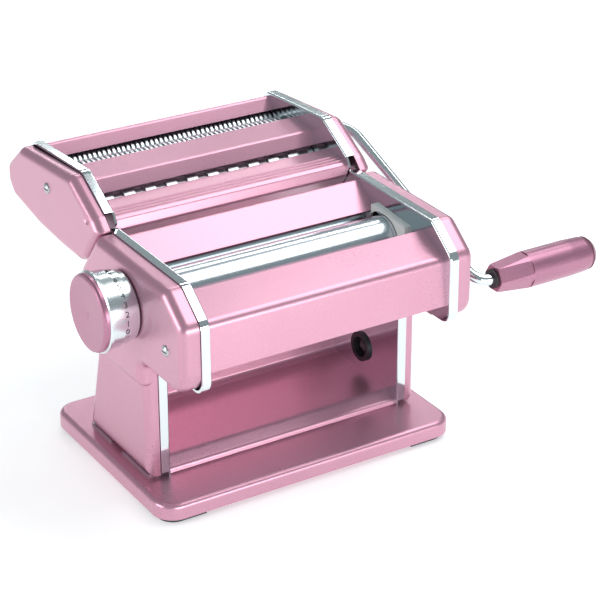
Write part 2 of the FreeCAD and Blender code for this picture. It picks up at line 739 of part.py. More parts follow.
# ---------------------------------------------------------------- thickness shaft and knob
def adjust_shaft():
    """Shaft through the hollow front roller, from the right support to the knob."""
    shaft = rod(-SHAFT_END, SUPPORT_X1, SHAFT_RADIUS, SHAFT_Y, ROLLER_Z)
    flat = block(-SHAFT_END - 1, -KNOB_X + 1.0, SHAFT_Y - 9, SHAFT_Y + 9,
                 ROLLER_Z + SHAFT_RADIUS - 1.0, ROLLER_Z + 9)
    shaft = shaft.cut(flat)
    return shaft.cut(rod(-SHAFT_END, -SHAFT_END + 8, 1.5, SHAFT_Y, ROLLER_Z))


def spiral(offset, first, last, steps):
    """Points at a distance from the cam's spiral centre line, between two turns."""
    points = []
    for i in range(steps + 1):
        turn = first + (last - first) * i / steps
        reach = CAM_START - CARRIAGE_TRAVEL * turn / THICKNESS_TURN + offset
        angle = math.radians(180.0 - turn)
        points.append((SHAFT_Y + reach * math.cos(angle), ROLLER_Z + reach * math.sin(angle)))
    return points


def smooth_strip(inner_offset, outer_offset, first, last, x0, x1):
    """Spiral band between two offsets from the cam's centre line."""
    inner = [Vec(x0, y, z) for y, z in spiral(inner_offset, first, last, 12)]
    outer = [Vec(x0, y, z) for y, z in spiral(outer_offset, first, last, 12)]
    curves = []
    for points in (inner, outer):
        curve = Part.BSplineCurve()
        curve.interpolate(points)
        curves.append(curve.toShape())
    ends = [Part.makeLine(inner[0], outer[0]), Part.makeLine(inner[-1], outer[-1])]
    wire = Part.Wire(Part.__sortEdges__(curves + ends))
    return Part.Face(wire).extrude(Vec(x1 - x0, 0, 0))


def adjust_cams():
    """Sector cams at both ends of the shaft; a spiral groove moves each bearing's pin."""
    slot_half = CAM_PIN_RADIUS + TOUCH
    edge = math.degrees((CAM_PIN_RADIUS + 3.4) / (CAM_START - CARRIAGE_TRAVEL))
    sector = [(SHAFT_Y, ROLLER_Z)] + spiral(0.0, -edge, THICKNESS_TURN + edge, 8)
    web = slab(sector, CAM_X0, CAM_X1)
    rim = smooth_strip(-slot_half - CAM_RIM, slot_half + CAM_RIM, -edge,
                       THICKNESS_TURN + edge, CAM_X0, CAM_X1)
    hub = rod(CAM_X0, CAM_X1, SHAFT_RADIUS + 3.0, SHAFT_Y, ROLLER_Z)
    cam = joined([web, rim, hub])
    groove = smooth_strip(-slot_half, slot_half, -CAM_MARGIN, THICKNESS_TURN + CAM_MARGIN,
                          CAM_X0 - 1, CAM_X1 + 1)
    cam = cam.cut(groove)
    return both(cam.cut(rod(CAM_X0 - 1, CAM_X1 + 1, SHAFT_RADIUS, SHAFT_Y, ROLLER_Z)))


def shaft_screw():
    """Washer-headed screw in the shaft's left end that holds the spring."""
    washer = rod(-SHAFT_END - 1.2, -SHAFT_END, 6.0, SHAFT_Y, ROLLER_Z)
    head = rod(-SHAFT_END - 3.0, -SHAFT_END, 3.0, SHAFT_Y, ROLLER_Z)
    slot = block(-SHAFT_END - 4, -SHAFT_END - 2.2, SHAFT_Y - 4, SHAFT_Y + 4,
                 ROLLER_Z - 0.4, ROLLER_Z + 0.4)
    shank = rod(-SHAFT_END - 1, -SHAFT_END + 7, 1.5, SHAFT_Y, ROLLER_Z)
    return joined([washer, head, shank]).cut(slot)


def knob_body():
    """Painted knob with ten index holes in its back, one for each setting."""
    body = turned([(-KNOB_X, 0), (-KNOB_X, KNOB_RADIUS - 1.7),
                   (-KNOB_X - 0.5, KNOB_RADIUS - 1.2), (-NUMBER_X0, KNOB_RADIUS - 1.2),
                   (-NUMBER_X0, KNOB_RADIUS), (-NUMBER_X1, KNOB_RADIUS),
                   (-NUMBER_X1, KNOB_RADIUS - 1.5), (-KNOB_X1, KNOB_RADIUS - 1.5),
                   (-KNOB_X1, 0)], SHAFT_Y, ROLLER_Z)
    cuts = [rod(-KNOB_X1 - 1, -SPRING_X, 7.2, SHAFT_Y, ROLLER_Z)]
    bore = rod(-SPRING_X - 1, -KNOB_X + 1, SHAFT_RADIUS + TOUCH, SHAFT_Y, ROLLER_Z)
    flat = block(-SPRING_X - 2, -KNOB_X + 2, SHAFT_Y - 9, SHAFT_Y + 9,
                 ROLLER_Z + SHAFT_RADIUS - 1.0 + TOUCH, ROLLER_Z + 9)
    cuts.append(bore.cut(flat))
    y, z = index_place()
    radius = y - SHAFT_Y
    for setting in range(SETTINGS):
        angle = math.radians(-setting * SETTING_STEP)
        cuts.append(rod(-KNOB_X - 3.2, -KNOB_X + 1, 1.5 + 0.3,
                        SHAFT_Y + radius * math.cos(angle), z + radius * math.sin(angle)))
    return body.cut(Part.makeCompound(cuts))


def knob_band():
    """Chromed ring around the front of the knob."""
    rim = KNOB_X1 + 1.4
    return turned([(-NUMBER_X1, KNOB_RADIUS - 1.5), (-NUMBER_X1, KNOB_RADIUS + 1.0),
                   (-KNOB_X1 + 0.4, KNOB_RADIUS + 1.0), (-KNOB_X1 - 0.2, KNOB_RADIUS + 2.2),
                   (-rim, KNOB_RADIUS + 2.2), (-rim - 0.6, KNOB_RADIUS + 1.4),
                   (-rim - 0.6, KNOB_RADIUS - 1.5)], SHAFT_Y, ROLLER_Z)


def knob_cap():
    """Painted cap that closes the knob, faintly dished."""
    edge = KNOB_RADIUS + 1.2
    rim = KNOB_X1 + 2.0
    return turned([(-KNOB_X1, 0), (-KNOB_X1, KNOB_RADIUS - 1.5), (-rim, KNOB_RADIUS - 1.5),
                   (-rim, edge), (-CAP_X + 1.6, edge), (-CAP_X + 0.5, edge - 0.5),
                   (-CAP_X, edge - 1.6), (-CAP_X, edge - 2.6), (-CAP_X + 0.6, 0)],
                  SHAFT_Y, ROLLER_Z)


def knob_spring():
    """Bellows spring that pulls the knob on the index pin."""
    inner = SHAFT_RADIUS + SPRING_WIRE / 2
    fold = SPRING_LENGTH / SPRING_TURNS / 2
    near = []
    far = []
    for i in range(2 * SPRING_TURNS + 1):
        radius = inner + (i % 2) * SPRING_DEPTH
        near.append((-SPRING_X - i * fold, radius))
        far.append((-SPRING_X - i * fold, radius + SPRING_WIRE))
    return turned(near + far[::-1], SHAFT_Y, ROLLER_Z)


# ---------------------------------------------------------------- smooth rollers
def bearing_blocks():
    """Sliding bearings of the front roller, each with its cam pin."""
    y, z = FRONT_ROLLER_Y, ROLLER_Z
    tall = BOSS_HALF + 2.5
    plate = slab([(y - CAM_PIN_REACH - 3.0, z - 4.5, 3), (y - CAM_PIN_REACH - 3.0, z + 4.5, 3),
                  (y - tall, z + tall, 2), (y + tall - 1.5, z + tall, 2),
                  (y + tall - 1.5, z - tall, 2), (y - tall, z - tall, 2)],
                 BLOCK_X0, BLOCK_X1)
    boss = slab([(y - BOSS_HALF, z - BOSS_HALF, 8), (y - BOSS_HALF, z + BOSS_HALF, 8),
                 (y + BOSS_HALF, z + BOSS_HALF, 8), (y + BOSS_HALF, z - BOSS_HALF, 8)],
                X_IN + 0.2, BLOCK_X1)
    pin = rod(BLOCK_X0, CAM_X1 + 0.1, CAM_PIN_RADIUS, y - CAM_PIN_REACH, z)
    body = joined([plate, boss, pin])
    return both(body.cut(rod(X_IN - 1, BLOCK_X1 + 1, JOURNAL_RADIUS + TOUCH, y, z)))


def grooved_drum(y):
    """Roller drum with a fine turned groove near each end."""
    body = X_IN - 0.5
    drum = rod(-body, body, ROLLER_RADIUS, y, ROLLER_Z)
    groove = tube(body - 3.9, body - 3.5, ROLLER_RADIUS + 1, ROLLER_RADIUS - 0.5, y, ROLLER_Z)
    return drum.cut(both(groove))


def front_roller():
    """Hollow polished roller that moves towards the rear one."""
    y, z = FRONT_ROLLER_Y, ROLLER_Z
    bar = joined([grooved_drum(y), rod(-GEAR_X1, GEAR_X1, JOURNAL_RADIUS, y, z)])
    return bar.cut(rod(-GEAR_X1 - 1, GEAR_X1 + 1, JOURNAL_BORE, y, z))


def smooth_gear(y, bore, first):
    """Long-toothed gear that stays in mesh over the whole thickness range."""
    pitch = CENTRES_CLOSED / 2
    gear = slender_gear(GEAR_X0, GEAR_X1, 12, pitch - 2.9, pitch + 2.5, 1.6, 0.7,
                        y, ROLLER_Z, first)
    return gear.cut(rod(GEAR_X0 - 1, GEAR_X1 + 1, bore, y, ROLLER_Z))


def front_roller_gear():
    return smooth_gear(FRONT_ROLLER_Y, JOURNAL_RADIUS, 0.0)


def front_roller_collar():
    """Retaining ring on the front roller's left end."""
    y, z = FRONT_ROLLER_Y, ROLLER_Z
    return tube(-GEAR_X1, -GEAR_X0, JOURNAL_RADIUS + 2.2, JOURNAL_RADIUS, y, z)


def rear_roller():
    """Solid polished roller with the crank socket in its right end."""
    y, z = REAR_ROLLER_Y, ROLLER_Z
    end = BODY_X - 0.6
    bar = joined([grooved_drum(y),
                  rod(-GEAR_X0, GEAR_X1, REAR_JOURNAL_RADIUS, y, z),
                  rod(GEAR_X1, end, SOCKET_RIM, y, z)])
    return bar.cut(socket_cut(end, y, z))


def socket_cut(end, y, z):
    """Round socket for the crank, with a cross slot for its tang."""
    slot = block(end - SOCKET_SLOT, end + 1, y - 20, y + 20, z - TANG_HALF - 0.1,
                 z + TANG_HALF + 0.1)
    return joined([rod(end - SOCKET_DEPTH, end + 1, SOCKET_RADIUS, y, z), slot])


def rear_roller_gear():
    return smooth_gear(REAR_ROLLER_Y, REAR_JOURNAL_RADIUS, 15.0)


def roller_scraper():
    """Spring steel strip that keeps dough off the rear roller."""
    y, z = REAR_ROLLER_Y, ROLLER_Z
    y1, z1 = body_posts()[1]
    path = [(y + 2.6, z - ROLLER_RADIUS - 0.9), (y + 6.0, z1 - 4.6, 3), (y1 + 3.0, z1 - 4.6)]
    return folded(path, 0.6, -X_IN, X_IN)


# ---------------------------------------------------------------- cutter head
def head_posts():
    """Axes of the head's two tie rods."""
    return [(STATION_MIDDLE - 1.2, WIDE_Z + 12.8), (STATION_MIDDLE, HEAD_FLOOR + 6.2)]


def cutter_axes():
    """The four cutter rollers' axes: wide front and rear, fine front and rear."""
    return [(WIDE_CUTTER_Y, WIDE_Z), (WIDE_REAR_Y, WIDE_Z), (FINE_Y, FINE_Z),
            (FINE_REAR_Y, FINE_Z)]


def hook_places():
    """Hook pins of the head: an upper front one and a lower rear one."""
    upper = WIDE_Z - 1.0
    lower = WIDE_Z - 10.5
    return [(on_line(BACK_LOW, BACK_HIGH, upper) + 4.0, upper),
            (on_line(BACK_LOW, BACK_HIGH, lower) + 7.5, lower)]


def cutter_plate():
    """Chromed right-hand plate of the cutter head."""
    plate = slab(HEAD_OUTLINE, X_IN, X_OUT)
    top = HEAD_OUTLINE[1:8]
    top[0] = (top[0][0], top[0][1])
    top[-1] = (HEAD_OUTLINE[7][0], HEAD_OUTLINE[7][1])
    plate = with_flanges(plate, [top[::-1]])
    holes = [rod(X_IN - 1, X_OUT + 1, CUTTER_AXLE + 1.5, y, z) for y, z in cutter_axes()]
    holes += [rod(X_IN - 1, X_OUT + 1, 2.6, y, z) for y, z in head_posts()]
    return plate.cut(Part.makeCompound(holes))


def cutter_cover():
    """Painted right-hand cover of the cutter head."""
    outer = HEAD_COVER_OUTLINE
    shell = rounded_slab(outer, COVER_X0, HEAD_X, COVER_ROUND)
    shell = shell.cut(rounded_slab(inset(outer, SKIN), COVER_X0, HEAD_X - SKIN,
                                   COVER_ROUND - SKIN))
    y, z = head_posts()[0]
    shell = shell.cut(rod(HEAD_X - 3, HEAD_X + 1, 1.7, y, z))
    dimple = Part.makeSphere(6.0, Vec(HEAD_X + 4.9, HOUSING_BACK + 10.5, HEAD_TOP - 18))
    return shell.cut(dimple)


def cutter_cover_right():
    """Right-hand cover with the two crank holes."""
    holes = [rod(HEAD_X - 8, HEAD_X + 1, SOCKET_RIM + AIR + 0.2, y, z)
             for y, z in (cutter_axes()[0], cutter_axes()[2])]
    return cutter_cover().cut(Part.makeCompound(holes))


def cutter_front_wall():
    """Painted wall in front of the wide cutters, with pressed ribs along its top."""
    top = HOUSING_TOP + 3.5
    path = [
        (WIDE_CUTTER_Y - 8.5, WIDE_Z - 12.0),
        (HOUSING_BACK + 3.2, HOUSING_TOP - 3.6, 2),
        (HOUSING_BACK + 4.6, top - 1.4, 1.2),
        (HOUSING_BACK + 6.4, top, 1.2),
        (WIDE_CUTTER_Y + 1.9, top),
    ]
    parts = [folded(path[::-1], SHEET, -X_IN, X_IN)]
    for rib in range(3):
        start = HOUSING_BACK + 8.2 + 3.4 * rib
        parts.append(slab([(start, top), (start + 0.5, top + 0.6), (start + 1.3, top + 0.6),
                           (start + 1.8, top)], -X_IN, X_IN))
    return joined(parts)


def cutter_divider():
    """Painted roof between the two cutter stations."""
    path = [
        (WIDE_REAR_Y - 7.9, WIDE_Z + 11.7),
        (WIDE_REAR_Y - 3.1, WIDE_Z + 18.9, 2),
        (FINE_Y - 10.0, WIDE_Z + 20.8, 1.2),
        (FINE_Y - 8.8, WIDE_Z + 16.8),
    ]
    return folded(path[::-1], SHEET, -X_IN, X_IN)


def cutter_back_wall():
    """Painted rear wall of the head; its inner slope leads the dough to the fine cutters."""
    path = [
        (FINE_REAR_Y - 7.4, FINE_Z + 11.2),
        (FINE_REAR_Y - 2.3, HEAD_TOP - 5.4, 2),
        (FINE_REAR_Y + 2.4, HEAD_TOP - 7.6, 3),
        (HEAD_REAR - 3.9, WIDE_Z + 10.7, 6),
        (HEAD_REAR - 2.9, WIDE_Z + 0.1, 4),
        (HEAD_REAR - 9.2, WIDE_Z - 8.5),
    ]
    return folded(path[::-1], SHEET, -X_IN, X_IN)


def cutter_tie_rods():
    """Shouldered rods of the head; the upper one carries the covers' screws."""
    rods = []
    for index, (y, z) in enumerate(head_posts()):
        end = HEAD_X - SKIN if index == 0 else X_FLANGE
        bar = joined([rod(-X_IN, X_IN, 3.5, y, z), rod(-end, end, 2.6, y, z)])
        if index == 0:
            for side in (-1, 1):
                bar = bar.cut(rod(side * (end - 7.0), side * end, 1.5, y, z))
        rods.append(bar)
    return Part.makeCompound(rods)


def cutter_cover_screws():
    """Screws through the head's covers into the upper tie rod."""
    y, z = head_posts()[0]
    return both(cover_screw(y, z, HEAD_X))


def cutter_bushes():
    """Eight flanged bushes of the cutter rollers."""
    bushes = []
    for y, z in cutter_axes():
        inner = CUTTER_AXLE + TOUCH
        bush = joined([tube(X_IN, X_OUT, CUTTER_AXLE + 1.5, inner, y, z),
                       tube(X_OUT, X_OUT + 2.0, CUTTER_AXLE + 2.4, inner, y, z)])
        bushes += [bush, mirrored(bush)]
    return Part.makeCompound(bushes)


def hook_pins():
    """Headed pins on the head's plates that drop into the brackets' slots."""
    pins = []
    for y, z in hook_places():
        pin = joined([rod(X_OUT, X_OUT + 3.4, 2.0, y, z),
                      rod(X_OUT + 2.4, X_OUT + 3.4, 3.2, y, z)])
        pins += [pin, mirrored(pin)]
    return Part.makeCompound(pins)


def hook_brackets():
    """Chromed brackets on the body's plates; open slots take the head's hook pins."""
    (y1, z1), (y2, z2) = hook_places()
    x0 = X_OUT
    x1 = X_OUT + 2.0
    corners = [
        (BACK_LOW[0] - 6.0, BACK_LOW[1] - 8.0, 2),
        (y2 + 5.0, z2 - 4.5, 3),
        (y2 + 5.0, z2 + 2.6, 1),
        (y1 + 4.6, z2 + 3.2, 1),
        (y1 + 4.0, z1 + 4.0, 1.5),
        (HOUSING_BACK - 3.5, HOUSING_TOP - 6.0, 2),
        (REAR_ROLLER_Y + REAR_JOURNAL_RADIUS + 5.4, ROLLER_Z + 4.0, 2),
    ]
    bracket = slab(corners, x0 + 0.0, x1)
    for y, z in ((y1, z1), (y2, z2)):
        bracket = bracket.cut(rod(x0 - 1, x1 + 1, 2.0 + TOUCH, y, z))
        bracket = bracket.cut(block(x0 - 1, x1 + 1, y - 2.0 - TOUCH, y + 2.0 + TOUCH,
                                    z, z + 40))
    relief = slab(inset(HEAD_OUTLINE, -0.6), x0 - 1, x0 + 0.25)
    return both(bracket.cut(relief))


def cutter_roller(y, z, pitch, shift, socket):
    """Cutter roller: discs half a pitch apart from the grooves, on journals."""
    body = X_IN - 0.5
    width = pitch / 2 - DISC_PLAY
    profile = [(-body, 0)]
    height = CUTTER_CORE
    edges = []
    count = int(2 * body / pitch) + 2
    for index in range(-count, count + 1):
        middle = pitch * index + shift
        low = max(middle - width / 2, -body)
        high = min(middle + width / 2, body)
        if high - low > 0.5:
            edges.append((low, high))
    if edges[0][0] > -body + 1e-6:
        profile.append((-body, height))
    for low, high in edges:
        if low > -body + 1e-6:
            profile.append((low, height))
        profile += [(low, CUTTER_RADIUS), (high, CUTTER_RADIUS)]
        if high < body - 1e-6:
            profile.append((high, height))
    if edges[-1][1] < body - 1e-6:
        profile.append((body, height))
    profile.append((body, 0))
    drum = turned(profile, y, z)
    end = HEAD_X - 0.6 if socket else HEAD_GEAR_X1
    bar = joined([drum, rod(-X_OUT - 3.4, end, CUTTER_AXLE, y, z)])
    if socket:
        bar = joined([bar, rod(HEAD_GEAR_X1, end, SOCKET_RIM, y, z)])
        bar = bar.cut(socket_cut(end, y, z))
    return bar


def cutter_gear(y, z, first):
    """Gear on the right end of a cutter roller."""
    pitch = CUTTER_SPACING / 2
    gear = slender_gear(HEAD_GEAR_X0, HEAD_GEAR_X1, 14, pitch - 1.6, pitch + 1.2, 1.2, 0.6,
                        y, z, first)
    return gear.cut(rod(HEAD_GEAR_X0 - 1, HEAD_GEAR_X1 + 1, CUTTER_AXLE, y, z))


def comb(y, z, pitch, shift, side):
    """Comb with one finger in each groove of a cutter roller."""
    reach = CUTTER_CORE + 0.45
    slope = math.radians(45.0)
    out = (side * math.cos(slope), -math.sin(slope))
    along = (side * math.sin(slope), math.cos(slope))
    foot = (y + reach * out[0], z + reach * out[1])
    corners = []
    for step, off in ((2.4, 0.0), (2.4, 0.9), (-9.0, 0.9), (-9.0, 0.0)):
        corners.append((foot[0] + along[0] * step + out[0] * off,
                        foot[1] + along[1] * step + out[1] * off))
    bar_y = foot[0] + along[0] * -9.0 + out[0] * 0.4
    bar_z = foot[1] + along[1] * -9.0 + out[1] * 0.4
    parts = [rod(-X_IN, X_IN, 1.6, bar_y, bar_z)]
    width = pitch / 2 - 6 * DISC_PLAY
    count = int(X_IN / pitch) + 1
    for index in range(-count, count + 1):
        middle = pitch * (index + 0.5) + shift
        if abs(middle) + width / 2 < X_IN - 1.0:
            parts.append(slab(corners, middle - width / 2, middle + width / 2))
    return joined(parts)


def cutter_combs(y_front, y_rear, z, pitch):
    """Front and rear comb of one cutter pair."""
    return Part.makeCompound([comb(y_front, z, pitch, 0.0, 1),
                              comb(y_rear, z, pitch, pitch / 2, -1)])


# ---------------------------------------------------------------- crank
def grip_span():
    """Where the grip starts and ends along the rod."""
    start = X_IN + CRANK_ARM_X + CRANK_BEND + 2.2
    return start, start + GRIP_LENGTH


def crank_points():
    """The crank rod's corners: socket end, shaft corner, grip corner, grip end."""
    arm_x = X_IN + CRANK_ARM_X
    drop = math.radians(CRANK_DROP)
    y1 = FINE_Y - CRANK_LENGTH * math.cos(drop)
    z1 = FINE_Z - CRANK_LENGTH * math.sin(drop)
    start = HEAD_X - 0.6 - SOCKET_DEPTH + 0.8
    return [Vec(start, FINE_Y, FINE_Z), Vec(arm_x, FINE_Y, FINE_Z), Vec(arm_x, y1, z1),
            Vec(grip_span()[1] - 0.2, y1, z1)]


def crank_rod():
    """Bent round rod: a tang that locks into a roller's socket, a head past the grip."""
    points = crank_points()
    bends = [0.0, CRANK_BEND + 8.0, CRANK_BEND, 0.0]
    edges = []
    last = points[0]
    for i in (1, 2):
        back = points[i - 1] - points[i]
        ahead = points[i + 1] - points[i]
        back.normalize()
        ahead.normalize()
        half = back.getAngle(ahead) / 2
        reach = bends[i] / math.tan(half)
        enter = points[i] + back * reach
        leave = points[i] + ahead * reach
        middle = back + ahead
        middle.normalize()
        top = points[i] + middle * (bends[i] / math.sin(half) - bends[i])
        edges.append(Part.makeLine(last, enter))
        edges.append(Part.Arc(enter, top, leave).toShape())
        last = leave
    edges.append(Part.makeLine(last, points[3]))
    circle = Part.Wire(Part.makeCircle(CRANK_RADIUS, points[0], Vec(1, 0, 0)))
    body = Part.Wire(edges).makePipeShell([circle], True, False)
    end = HEAD_X - 0.6
    tang = block(end - SOCKET_SLOT + 0.2, end + 1.2, FINE_Y - SOCKET_RIM + 0.4,
                 FINE_Y + SOCKET_RIM - 0.4, FINE_Z - TANG_HALF, FINE_Z + TANG_HALF)
    tip = points[3]
    head = rod(tip.x - 2.2, tip.x, CRANK_RADIUS + 1.8, tip.y, tip.z)
    return joined([body, tang, head])


def grip_ferrule():
    """Washer brazed on the rod where the grip starts."""
    point = crank_points()[2]
    start = grip_span()[0]
    return tube(start - 1.8, start - 0.2, CRANK_RADIUS + 2.2, CRANK_RADIUS, point.y, point.z)


def grip():
    """Painted grip, a cone and a barrel, that turns on the rod."""
    point = crank_points()[2]
    start, end = grip_span()
    bore = CRANK_RADIUS + TOUCH
    well = CRANK_RADIUS + 2.1
    barrel = turned([(start, bore), (start, GRIP_RADIUS - 2.9), (start + 0.8, GRIP_RADIUS - 2.3),
                     (start + GRIP_CONE, GRIP_RADIUS), (end - 14.0, GRIP_RADIUS),
                     (end - 3.0, GRIP_RADIUS - 0.5), (end, GRIP_RADIUS - 1.4), (end, well),
                     (end - 2.7, well), (end - 2.7, bore)], point.y, point.z)
    flats = Part.makeLoft([hexagon(start - 1, GRIP_RADIUS - 3.6, point),
                           hexagon(start + GRIP_CONE, GRIP_RADIUS - 0.7, point)], True, True)
    waste = rod(start - 1, start + GRIP_CONE, GRIP_RADIUS + 2, point.y, point.z).cut(flats)
    return barrel.cut(waste)


def hexagon(x, apothem, point):
    """Closed hexagon around the grip's axis, flat side down."""
    corners = []
    for index in range(6):
        angle = math.radians(30 + 60 * index + 30)
        reach = apothem / math.cos(math.radians(30))
        corners.append(Vec(x, point.y + reach * math.cos(angle),
                           point.z + reach * math.sin(angle)))
    return Part.makePolygon(corners + corners[:1])


def grip_end_cap():
    """Dark end cap pressed into the grip's well, over the rod's head."""
    point = crank_points()[2]
    end = grip_span()[1]
    return turned([(end, 0), (end, GRIP_RADIUS - 0.9), (end + 2.4, GRIP_RADIUS - 2.6),
                   (end + 3.0, GRIP_RADIUS - 4.0), (end + 3.0, 0)], point.y, point.z)


# ---------------------------------------------------------------- every piece
PIECES = {
    "base_plate": base_plate,
    "rubber_feet": rubber_feet,
    "base_screws": base_screws,
    "side_plate_right": side_plate_right,
    "side_plate_left": lambda: mirrored(side_plate()),
    "side_cover_right": side_cover_right,
    "side_cover_left": side_cover_left,
    "front_cover": front_cover,
    "hopper_plate": hopper_plate,
    "tray_panel": tray_panel,
    "side_guides": side_guides,
    "clamp_grommet": clamp_grommet,
    "body_tie_rods": body_tie_rods,
    "body_cover_screws": body_cover_screws,
    "roller_bushes": roller_bushes,
    "standoffs": standoffs,
    "support_plates": support_plates,
    "index_pin": index_pin,
    "roller_scraper": roller_scraper,
    "hook_brackets": hook_brackets,
    "adjust_shaft": adjust_shaft,
    "adjust_cams": adjust_cams,
    "shaft_screw": shaft_screw,
    "knob_body": knob_body,
    "knob_band": knob_band,
    "knob_cap": knob_cap,
    "knob_spring": knob_spring,
    "bearing_blocks": bearing_blocks,
    "front_roller": front_roller,
    "front_roller_gear": front_roller_gear,
    "front_roller_collar": front_roller_collar,
    "rear_roller": rear_roller,
    "rear_roller_gear": rear_roller_gear,
    "cutter_plate_right": cutter_plate,
    "cutter_plate_left": lambda: mirrored(cutter_plate()),
    "cutter_cover_right": cutter_cover_right,
    "cutter_cover_left": lambda: mirrored(cutter_cover()),
    "cutter_front_wall": cutter_front_wall,
    "cutter_divider": cutter_divider,
    "cutter_back_wall": cutter_back_wall,
    "cutter_tie_rods": cutter_tie_rods,
    "cutter_cover_screws": cutter_cover_screws,
    "cutter_bushes": cutter_bushes,
    "hook_pins": hook_pins,
    "wide_combs": lambda: cutter_combs(WIDE_CUTTER_Y, WIDE_REAR_Y, WIDE_Z, WIDE_PITCH),
    "fine_combs": lambda: cutter_combs(FINE_Y, FINE_REAR_Y, FINE_Z, FINE_PITCH),
    "wide_cutter_front": lambda: cutter_roller(WIDE_CUTTER_Y, WIDE_Z, WIDE_PITCH, 0.0, True),
    "wide_cutter_rear": lambda: cutter_roller(WIDE_REAR_Y, WIDE_Z, WIDE_PITCH,
                                              WIDE_PITCH / 2, False),
    "fine_cutter_front": lambda: cutter_roller(FINE_Y, FINE_Z, FINE_PITCH, 0.0, True),
    "fine_cutter_rear": lambda: cutter_roller(FINE_REAR_Y, FINE_Z, FINE_PITCH,
                                              FINE_PITCH / 2, False),
    "wide_gear_front": lambda: cutter_gear(WIDE_CUTTER_Y, WIDE_Z, 0.0),
    "wide_gear_rear": lambda: cutter_gear(WIDE_REAR_Y, WIDE_Z, 180.0 / 14),
    "fine_gear_front": lambda: cutter_gear(FINE_Y, FINE_Z, 0.0),
    "fine_gear_rear": lambda: cutter_gear(FINE_REAR_Y, FINE_Z, 180.0 / 14),
    "crank_rod": crank_rod,
    "grip_ferrule": grip_ferrule,
    "grip": grip,
    "grip_end_cap": grip_end_cap,
}


def main():
    os.makedirs("parts", exist_ok=True)
    for name, build in PIECES.items():
        build().exportStep("parts/" + name + ".step")


main()
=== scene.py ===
import json
import math

import bpy
from mathutils import Matrix, Vector


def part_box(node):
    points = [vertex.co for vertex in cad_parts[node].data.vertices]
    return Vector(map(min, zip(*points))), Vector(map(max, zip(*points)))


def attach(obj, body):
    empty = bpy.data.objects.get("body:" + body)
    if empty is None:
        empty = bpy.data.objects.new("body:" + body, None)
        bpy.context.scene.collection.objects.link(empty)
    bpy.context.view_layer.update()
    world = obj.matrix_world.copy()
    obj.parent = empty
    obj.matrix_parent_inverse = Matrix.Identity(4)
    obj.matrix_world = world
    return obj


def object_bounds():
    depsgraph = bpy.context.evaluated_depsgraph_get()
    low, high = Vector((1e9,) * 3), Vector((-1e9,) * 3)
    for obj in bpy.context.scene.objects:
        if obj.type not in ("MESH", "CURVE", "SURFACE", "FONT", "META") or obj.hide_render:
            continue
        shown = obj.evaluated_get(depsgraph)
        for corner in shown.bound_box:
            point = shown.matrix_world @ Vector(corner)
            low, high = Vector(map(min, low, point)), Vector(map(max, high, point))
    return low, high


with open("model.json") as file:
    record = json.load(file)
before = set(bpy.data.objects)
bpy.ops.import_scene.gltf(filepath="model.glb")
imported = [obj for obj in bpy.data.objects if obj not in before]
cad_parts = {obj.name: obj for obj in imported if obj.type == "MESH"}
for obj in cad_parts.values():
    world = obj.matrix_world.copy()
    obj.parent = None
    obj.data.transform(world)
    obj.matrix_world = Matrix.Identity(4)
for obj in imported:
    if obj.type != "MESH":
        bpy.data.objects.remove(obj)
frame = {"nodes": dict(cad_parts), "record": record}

CAD_LOW, CAD_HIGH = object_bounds()
MM = 0.001

# The operators below work on what is selected, which must never be a machine node.
bpy.ops.object.select_all(action="DESELECT")

# ---------------------------------------------------------------- named values
# Linear colours of the finishes.
PINK = (0.560, 0.260, 0.360, 1.0)
PINK_LIGHT = (0.680, 0.370, 0.470, 1.0)
PINK_DEEP = (0.360, 0.150, 0.235, 1.0)
PINK_DARK = (0.270, 0.115, 0.180, 1.0)
CHROME_TONE = (0.84, 0.88, 0.89, 1.0)
CHROME_SHADE = (0.66, 0.74, 0.77, 1.0)
STEEL_TONE = (0.72, 0.76, 0.80, 1.0)
STEEL_SHADE = (0.50, 0.55, 0.60, 1.0)
ZINC_TONE = (0.60, 0.61, 0.62, 1.0)
ZINC_SHADE = (0.36, 0.37, 0.39, 1.0)
BRONZE_TONE = (0.56, 0.36, 0.14, 1.0)
BRONZE_SHADE = (0.34, 0.20, 0.07, 1.0)
RUBBER_TONE = (0.020, 0.030, 0.034, 1.0)
RUBBER_DUST = (0.075, 0.090, 0.094, 1.0)
BLACK_TONE = (0.012, 0.011, 0.013, 1.0)
BLACK_DUST = (0.045, 0.042, 0.048, 1.0)
GUIDE_TONE = (0.86, 0.86, 0.84, 1.0)
GUIDE_SHADE = (0.70, 0.71, 0.70, 1.0)
FLOOR_TONE = (0.90, 0.90, 0.90, 1.0)
FLOOR_SHADE = (0.86, 0.86, 0.865, 1.0)

# The number dial on the knob.
DIGITS = 10
DIGIT_STEP = 14.5            # degrees from one number to the next
DIGIT_FIRST = -17.5          # degrees above the level line that points to the front
DIGIT_SIZE = 4.4 * MM
DIGIT_DEPTH = 0.12 * MM      # how far a number reaches out of the knob's side, and into it
DIGIT_CURVE_STEPS = 4        # straight steps along each curve of a number
DIAL_INSET = 7.7 * MM        # from the knob's right-hand edge to the middle of the numbers

# The floor: its width and its gap below the feet, both in metres, and the strength of its glow.
FLOOR_WIDTH = 14.0
FLOOR_GAP = 0.05 * MM
FLOOR_GLOW = 0.50

# The room's light, and each softbox: name, place, width and height in metres, power in watts.
ROOM_COLOUR = (0.80, 0.92, 0.96, 1.0)
ROOM_STRENGTH = 0.36
SOFTBOXES = [
    ("light_overhead", (0.60, -0.22, 1.20), (0.9, 0.6), 6.0),
    ("light_strip", (0.58, 0.62, 1.00), (0.9, 0.10), 2.4),
    ("light_left", (-1.30, 0.20, 0.45), (0.9, 0.6), 7.0),
    ("light_front", (0.10, -1.30, 0.22), (1.1, 0.4), 9.0),
    ("light_back", (0.60, 1.25, 0.62), (1.0, 0.12), 2.0),
]

